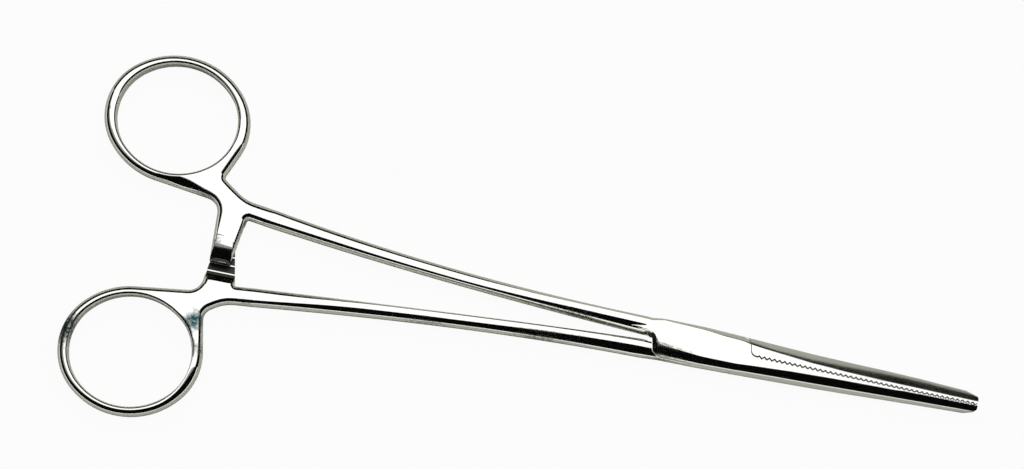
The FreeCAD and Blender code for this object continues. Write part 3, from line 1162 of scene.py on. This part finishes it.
def dull_material(name: str, colour: tuple[float, float, float], roughness: float) -> bpy.types.Material:
    """Return a material of one colour without any gloss.

    Args:
        name: the material's name.
        colour: its colour.
        roughness: how rough it is.

    Returns:
        The material.
    """
    material = new_material(name)
    set_inputs(shader_of(material), {"Base Color": (*colour, 1), "Roughness": roughness,
                                     "Specular IOR Level": 0.0})
    return material


@dataclass(frozen=True)
class PaintedTint:
    """A stretch where the polish is tinted in patches: painted reflection, the dark, coloured reflection
    on the flanks laid into the base colour.

    A strength of 1 covers all of it, and less leaves the tint to the thick of the patches.
    """

    x: float
    y: float
    reach: float
    strength: float
    colour: tuple[float, float, float]
    on_flat: bool = False

    def at(self, place: Vector) -> float:
        """Return the painted tint's strength at a place."""
        distance = Vector((place.x - self.x, place.y - self.y)).length
        return blend(self.strength, 0, distance / self.reach)


@dataclass(frozen=True)
class SteelFinish:
    """Mirror-polished stainless steel with fine hairlines, faint cloudy wear, and patches of painted
    reflection tint and painted shade.
    """

    name: str
    colour: tuple[float, float, float]
    roughness: float
    cloud: float
    hairline: float
    painted_tint_roughness: float = 0.3
    hairline_scale: tuple[float, float, float] = (60.0, 900.0, 900.0)
    hairline_noise: float = 6.0
    hairline_detail: float = 3.0
    hairline_depth: float = 0.01
    cloud_scale: float = 90.0
    cloud_detail: float = 4.0
    cloud_range: tuple[float, float] = (0.35, 0.75)
    patch_scale: float = 1300.0
    patch_detail: float = 6.0
    patch_roughness: float = 0.7
    patch_range: tuple[float, float] = (0.9, 1.3)

    def make(self) -> bpy.types.Material:
        """Return the material, patterned on the piece's own coordinates and attributes.

        Returns:
            The material.
        """
        material = new_material(self.name)
        shader = shader_of(material)
        set_inputs(shader, {"Metallic": 1})
        place = add_node(material, "TexCoord").outputs["Object"]
        # The colour attribute holds painted shade and painted reflection tint, and noise patches mix it
        # into the base colour.
        painted_tint_and_shade = add_node(material, "Attribute", attribute_name=PAINTED_TINT_AND_SHADE)
        satin = add_node(material, "Attribute", attribute_name=SATIN)

        patches = add_node(material, "TexNoise",
                           {"Scale": self.patch_scale, "Detail": self.patch_detail,
                            "Roughness": self.patch_roughness}, {"Vector": place})
        total = add_node(material, "Math", {},
                         {0: patches.outputs["Fac"], 1: painted_tint_and_shade.outputs["Alpha"]}, operation="ADD")
        amount = add_node(material, "MapRange",
                          {"From Min": self.patch_range[0], "From Max": self.patch_range[1]},
                          {"Value": total.outputs[0]})
        tint = add_node(material, "Mix", {"A": (*self.colour, 1)},
                        {"Factor": amount.outputs["Result"], "B": painted_tint_and_shade.outputs["Color"]},
                        data_type="RGBA")

        clouds = add_node(material, "TexNoise",
                          {"Scale": self.cloud_scale, "Detail": self.cloud_detail}, {"Vector": place})
        wear_and_painted_light = add_node(material, "MapRange",
                        {"From Min": self.cloud_range[0], "From Max": self.cloud_range[1],
                         "To Min": self.roughness, "To Max": self.roughness + self.cloud},
                        {"Value": clouds.outputs["Fac"]})
        roughness_with_tint = add_node(material, "Math", {1: self.painted_tint_roughness},
                           {0: amount.outputs["Result"], 2: wear_and_painted_light.outputs["Result"]},
                           operation="MULTIPLY_ADD")
        roughness = add_node(material, "Math", {},
                             {0: roughness_with_tint.outputs[0], 1: satin.outputs["Fac"]}, operation="ADD")

        stretch = add_node(material, "Mapping", {"Scale": self.hairline_scale}, {"Vector": place})
        lines = add_node(material, "TexNoise",
                         {"Scale": self.hairline_noise, "Detail": self.hairline_detail},
                         {"Vector": stretch.outputs["Vector"]})
        bump = add_node(material, "Bump",
                        {"Strength": self.hairline, "Distance": self.hairline_depth * MM},
                        {"Height": lines.outputs["Fac"]})
        feed(material, shader, {"Base Color": tint.outputs["Result"], "Roughness": roughness.outputs[0],
                                "Normal": bump.outputs["Normal"]})
        return material


@dataclass
class PaintedLightAndSatin:
    """Painted light and satin on the polished faces, kept as two attributes: painted shade and painted
    reflection tint as a colour, and the brushed flank's roughness.
    """

    # Painted reflection: teal tints on the neck, bar and lower ring, and brown ones along the shank and
    # lock. They go on faces turned toward the black flag, and on the flats too where on_flat is set.
    painted_tints: tuple[PaintedTint, ...] = (
        PaintedTint(-112.5, 11.6, 8.0, 0.62, TEAL),
        PaintedTint(-107.6, 1.6, 3.4, 0.68, TEAL),
        PaintedTint(-109.3, -16.6, 5.4, 0.85, TEAL, on_flat=True),
        PaintedTint(-107.0, -22.5, 5.0, 0.6, TEAL, on_flat=True),
        PaintedTint(-137.4, -23.5, 9.5, 0.85, DEEP_TEAL, on_flat=True),
        PaintedTint(-99.0, -9.3, 5.0, 0.6, BROWN),
        PaintedTint(-60.0, -5.0, 14.0, 0.56, BROWN),
        PaintedTint(-35.0, -3.4, 16.0, 0.62, BROWN),
        PaintedTint(-28.0, 1.8, 16.0, 0.56, BROWN),
        PaintedTint(-6.0, -1.6, 13.0, 0.72, BROWN),
    )
    # Painted shade: near black on the walls between the jaw teeth, in the lock and behind the ratchet
    # teeth, and a paler grey on the ratchet's run-out.
    painted_shade: tuple[float, float, float] = (0.045, 0.045, 0.04)
    runout: tuple[float, float, float] = (0.3, 0.3, 0.24)
    satin_roughness: float = 0.14
    satin_outward: float = 0.2
    satin_slope: float = 0.05
    jaw_x: float = 11.0
    teeth_low_y: float = -1.3
    teeth_high_y: float = 0.7
    cheek_low_x: float = -15.0
    cheek_high_x: float = -8.0
    jaw_walls_x: float = 8.0
    upright: float = 0.3
    level: float = 0.9
    end_wall: float = 0.3
    tooth_wall: float = 0.02
    tongue_half_height: float = 1.1
    bar_low_x: float = -113.0
    bar_high_x: float = -101.0
    bar_y: float = 7.3
    runout_y: float = 5.45
    crest_height: float = 0.2
    painted_tint_most_normal_y: float = -0.03
    cheek_gap_x: float = 12.6
    cheek_gap_y: float = 3.6

    def gets_painted_shade(self, middle: Vector, normal: Vector) -> bool:
        """Say whether a face gets painted shade: a wall of the jaw teeth, the cheeks' cut end or tongue,
        or the ratchet.

        Args:
            middle: the middle of the face.
            normal: the way it faces.

        Returns:
            Whether the face gets the painted shade colour.
        """
        height = middle.z - MIDDLE
        if middle.x > self.jaw_walls_x:
            high_y = self.teeth_high_y if middle.x > self.cheek_gap_x else self.cheek_gap_y
            return abs(normal.z) < self.upright and self.teeth_low_y < middle.y < high_y
        if self.cheek_low_x < middle.x < self.cheek_high_x:
            tongue = abs(normal.z) > self.level and abs(height) < self.tongue_half_height
            cut_end = abs(normal.z) < self.level and abs(normal.x) > self.end_wall
            return tongue or cut_end
        on_bar = self.bar_low_x < middle.x < self.bar_high_x and abs(middle.y) < self.bar_y
        inward = normal.z * height <= 0 and abs(height) > self.crest_height
        return on_bar and abs(normal.x) < self.tooth_wall and inward

    def is_satin(self, middle: Vector, normal: Vector) -> bool:
        """Say whether a face is the upper jaw's brushed flank.

        Args:
            middle: the middle of the face.
            normal: the way it faces.

        Returns:
            Whether the face is brushed.
        """
        on_flank = normal.y > self.satin_outward and abs(normal.z) > self.satin_slope
        return on_flank and middle.x > self.jaw_x and middle.y > 0

    def painted_tint_at(self, place: Vector, normal: Vector) -> tuple[float, float, float, float]:
        """Return the tint and its strength at a place of a face.

        Args:
            place: a place of the face.
            normal: the way the face points.

        Returns:
            The tint's red, green and blue, and its strength.
        """
        strongest = max(self.painted_tints, key=lambda painted_tint_and_shade: painted_tint_and_shade.at(place))
        # Painted reflection goes only on faces turned toward -Y, the black flag's side, unless the patch
        # is on_flat.
        untinted = normal.y > self.painted_tint_most_normal_y and not strongest.on_flat
        return (*strongest.colour, 0.0 if untinted else strongest.at(place))

    def mark(self, piece: bpy.types.Object) -> None:
        """Write the attributes that the finish reads.

        Args:
            piece: a finished piece.
        """
        mesh = piece.data
        mesh.attributes.new(PAINTED_TINT_AND_SHADE, "FLOAT_COLOR", "CORNER")
        mesh.attributes.new(SATIN, "FLOAT", "CORNER")
        painted_tint_and_shade = mesh.attributes[PAINTED_TINT_AND_SHADE]
        satin = mesh.attributes[SATIN]
        for face in mesh.polygons:
            middle = face.center / MM
            painted_shade = self.gets_painted_shade(middle, face.normal)
            rough = self.satin_roughness if self.is_satin(middle, face.normal) else 0.0
            for corner in face.loop_indices:
                place = mesh.vertices[mesh.loops[corner].vertex_index].co / MM
                colour = self.painted_tint_at(place, face.normal)
                # Painted shade takes the place of the tint on those walls.
                if painted_shade:
                    on_runout = middle.x < self.jaw_x and abs(middle.y) > self.runout_y
                    colour = (*(self.runout if on_runout else self.painted_shade), 1.0)
                painted_tint_and_shade.data[corner].color = colour
                satin.data[corner].value = rough


def dress(piece: bpy.types.Object, finish: bpy.types.Material, crease: float) -> None:
    """Clean, smooth and coat a finished piece.

    Args:
        piece: the piece.
        finish: its material.
        crease: the angle past which an edge stays sharp.
    """
    face_outward(piece)
    only(piece)
    bpy.ops.object.shade_smooth_by_angle(angle=crease)
    bpy.ops.object.modifier_add(type="WEIGHTED_NORMAL")
    modifier = piece.modifiers[-1]
    modifier.keep_sharp = True
    modifier.weight = FLAT_FACE_WEIGHT
    bpy.ops.object.modifier_apply(modifier=modifier.name)
    piece.data.materials.clear()
    piece.data.materials.append(finish)


@dataclass
class Forceps:
    """The whole instrument: two arms and their pin."""

    lock: LockAndJaws = field(default_factory=LockAndJaws)
    ratchet: Ratchet = field(default_factory=Ratchet)
    pin: Pin = field(default_factory=Pin)
    # Painted shade, painted reflection tints and the satin roughness, written onto each piece.
    wear_and_painted_light: PaintedLightAndSatin = field(default_factory=PaintedLightAndSatin)
    crease: float = math.radians(40)
    upper: Handle = field(default_factory=lambda: Handle(
        name="slotted_arm_polished",
        ring=Ring(x=-122.5, y=26.4, end_band=2.7),
        line=(8.85, 5.0, 2.95, 2.2),
        end_thickness=5.2,
        meet_angle=math.radians(-18),
        notch_y=15.6,
        notch_radius=0.9,
        bar_outer_end_x=-108.9,
        bar_inner_x=-102.6,
        bar_inner_end_x=-104.3,
        bar_reach=2.9,
        swells=[
            Swell(-118.0, 11.6, 7.0, 1.1),
            Swell(-110.5, 2.0, 6.0, -0.4),
            Swell(-106.0, 16.0, 3.5, 0.4),
            Swell(-101.0, 11.0, 6.0, 0.25),
        ],
    ))
    lower: Handle = field(default_factory=lambda: Handle(
        name="inner_arm_polished",
        near_flat=1.05,
        far_flat=-0.1,
        near_end_flat=1.3,
        far_end_flat=-0.6,
        near_turn=math.pi,
        far_turn=math.radians(27),
        swells=[
            Swell(-106.5, 29.0, 11.0, 0.62),
        ],
        hole_swells=[
            Swell(-108.5, 28.5, 11.0, -0.42),
            Swell(-134.5, 21.0, 9.0, 0.25),
            Swell(-109.5, 17.0, 4.5, 0.6),
        ],
        ring=Ring(x=-121.5, y=25.8, end_band=2.3),
        line=(8.85, 6.15, 3.75, 2.9),
        end_thickness=4.3,
        meet_angle=math.radians(-7.7),
        notch_y=14.3,
        notch_radius=2.6,
        bar_inner_x=-102.0,
        bar_inner_end_x=-104.4,
    ))

    def slotted_arm(self) -> bpy.types.Object:
        """Return the upper arm, with the slotted cheeks and the lower jaw.

        Returns:
            The piece.
        """
        piece = self.upper.build()
        self.ratchet.cut(piece, self.upper)
        combine(piece, self.lock.cheeks(), Joining.ADD)
        thickness = self.lock.tongue_thickness + 2 * self.lock.tongue_gap
        combine(piece, self.lock.slot(self.lock.slot_half_width, thickness), Joining.REMOVE)
        combine(piece, self.pin.rod(self.pin.radius, 2 * LOCK_THICKNESS), Joining.REMOVE)
        return piece

    def inner_arm(self) -> bpy.types.Object:
        """Return the lower arm, with the tongue and the upper jaw.

        Returns:
            The piece.
        """
        piece = self.lower.build()
        self.ratchet.cut(piece, self.lower)
        half_turn = Matrix.Rotation(math.pi, 4, "X")
        piece.data.transform(Matrix.Translation((0, 0, LOCK_THICKNESS * MM)) @ half_turn)
        combine(piece, self.lock.beyond_shoulder(), Joining.REMOVE)
        combine(piece, self.lock.inner_head(), Joining.ADD)
        bore = self.pin.radius + self.pin.running_gap
        combine(piece, self.pin.rod(bore, 2 * LOCK_THICKNESS), Joining.REMOVE)
        return piece

    def build(self, finish: bpy.types.Material) -> None:
        """Build, dress and place every piece.

        Args:
            finish: the steel that all of them have.
        """
        pieces = (
            (self.slotted_arm(), "box_arm", "slotted_arm"),
            (self.inner_arm(), "tongue_arm", "inner_arm"),
            (self.pin.build(), "lock_pin", "slotted_arm"),
        )
        for piece, node, body in pieces:
            dress(piece, finish, self.crease)
            self.wear_and_painted_light.mark(piece)
            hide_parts(node)
            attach(piece, body)
            LOG.info("%s: %d faces, for %s", piece.name, len(piece.data.polygons), node)


@dataclass
class Studio:
    """A pale floor in a white room, a softbox above, a black flag in front and the camera.

    The picture's own axes turn with the camera: its right and its up lie on the floor.
    """

    floor_size: float = 6000.0
    floor_colour: tuple[float, float, float] = (0.87, 0.88, 0.78)
    floor_glow: float = 0.95
    floor_roughness: float = 0.8
    softbox_centre: tuple[float, float, float] = (500.0, 1700.0, 2000.0)
    softbox_size: tuple[float, float] = (4400.0, 4400.0)
    softbox_watts: float = 18.0
    flag_radius: float = 2900.0
    flag_top: float = math.radians(76)
    flag_start: float = math.radians(-215)
    flag_stop: float = math.radians(-12)
    flag_foot: float = math.radians(9)
    skirt_top: float = math.radians(34)
    flag_segments: int = 144
    flag_rings: int = 90
    flag_colour: tuple[float, float, float] = (0.01, 0.01, 0.01)
    camera_place: tuple[float, float, float] = (-36.75, -95.21, 660.65)
    camera_aim: tuple[float, float, float] = (-45.33, 16.14, 2.75)
    picture_up: tuple[float, float, float] = (-0.1977, 0.9803, 0.0)
    lens: float = 107.0
    sensor: float = 36.0
    near_clip: float = 10.0
    far_clip: float = 100000.0

    def turn(self) -> float:
        """Return the angle from the row's axes to the picture's."""
        return math.atan2(-self.picture_up[0], self.picture_up[1])

    def floor(self) -> None:
        """Lay the pale floor, which the camera sees near white, with its soft shadows."""
        bpy.ops.object.select_all(action="DESELECT")
        bpy.ops.mesh.primitive_plane_add(size=self.floor_size * MM)
        floor = bpy.context.object
        floor.name = "studio_floor"
        material = dull_material("pale_floor", self.floor_colour, self.floor_roughness)
        glow = add_node(material, "Emission")
        path = add_node(material, "LightPath")
        share = add_node(material, "Math", {1: self.floor_glow}, {0: path.outputs["Is Camera Ray"]},
                         operation="MULTIPLY")
        mix = add_node(material, "MixShader", {},
                       {"Fac": share.outputs[0], 1: shader_of(material).outputs[0], 2: glow.outputs[0]})
        feed(material, material.node_tree.nodes["Material Output"], {"Surface": mix.outputs[0]})
        floor.data.materials.append(material)

    def world(self) -> None:
        """Set the plain white room."""
        world = bpy.data.worlds.new("white_room")
        bpy.context.scene.world = world
        world.use_nodes = True
        background = world.node_tree.nodes["Background"]
        set_inputs(background, {"Color": (1, 1, 1, 1), "Strength": 1.0})

    def softbox(self) -> None:
        """Hang the soft light above and behind the instrument."""
        data = bpy.data.lights.new("softbox", "AREA")
        data.shape = "RECTANGLE"
        data.size = self.softbox_size[0] * MM
        data.size_y = self.softbox_size[1] * MM
        data.energy = self.softbox_watts
        spin = Matrix.Rotation(self.turn(), 4, "Z")
        self.stand("softbox", data, spin @ Matrix.Translation(Vector(self.softbox_centre) * MM))

    def flag(self) -> None:
        """Stand the black flag round the front and left, low all the way round.

        It darkens what the polished flanks reflect, as a product photographer's flags do.
        """
        bpy.ops.object.select_all(action="DESELECT")
        bpy.ops.mesh.primitive_uv_sphere_add(segments=self.flag_segments, ring_count=self.flag_rings,
                                             radius=self.flag_radius * MM, rotation=(0, 0, self.turn()))
        flag = bpy.context.object
        flag.name = "black_flag"
        open_mesh(flag)
        pick(flag, Part.FACES, self.is_off_flag)
        bpy.ops.mesh.delete(type="FACE")
        close_mesh()
        flag.visible_camera = False
        flag.data.materials.append(dull_material("flag_black", self.flag_colour, 1.0))

    def is_off_flag(self, face: bmesh.types.BMFace) -> bool:
        """Say whether a face of the whole sphere is no part of the flag.

        Args:
            face: a face of the sphere.

        Returns:
            Whether it is deleted.
        """
        middle = face.calc_center_median()
        height = math.asin(middle.z / middle.length)
        round_angle = math.atan2(middle.y, middle.x)
        on_side = any(self.flag_start < angle < self.flag_stop
                      for angle in (round_angle, round_angle - 2 * math.pi))
        foot = self.flag_foot if on_side else 0
        top = self.flag_top if on_side else self.skirt_top
        return height < foot or height > top

    def stand(self, name: str, data: bpy.types.ID, matrix: Matrix) -> bpy.types.Object:
        """Put a lamp or a camera in the scene.

        Args:
            name: its name.
            data: the lamp or the camera itself.
            matrix: its place and turn.

        Returns:
            The object that holds it.
        """
        thing = bpy.data.objects.new(name, data)
        bpy.context.scene.collection.objects.link(thing)
        thing.matrix_world = matrix
        return thing

    def camera(self) -> None:
        """Set the camera almost straight above, turned as the picture is."""
        data = bpy.data.cameras.new("studio_camera")
        data.lens = self.lens
        data.sensor_width = self.sensor
        data.clip_start = self.near_clip * MM
        data.clip_end = self.far_clip * MM
        place = Vector(self.camera_place) * MM
        back = (place - Vector(self.camera_aim) * MM).normalized()
        right = Vector(self.picture_up).cross(back).normalized()
        up = back.cross(right)
        turn = Matrix((right, up, back)).transposed().to_4x4()
        camera = self.stand("studio_camera", data, Matrix.Translation(place) @ turn)
        bpy.context.scene.camera = camera


def main() -> None:
    """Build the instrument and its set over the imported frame."""
    logging.basicConfig(level=logging.INFO, format="%(name)s: %(message)s")
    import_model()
    steel = SteelFinish(name="polished_steel", colour=(0.84, 0.84, 0.8), roughness=0.04, cloud=0.05,
                        hairline=0.1).make()
    Forceps().build(steel)
    studio = Studio()
    studio.floor()
    studio.world()
    studio.softbox()
    studio.flag()
    studio.camera()
    bpy.context.scene.view_settings.view_transform = "Standard"


if __name__ == "__main__":
    main()
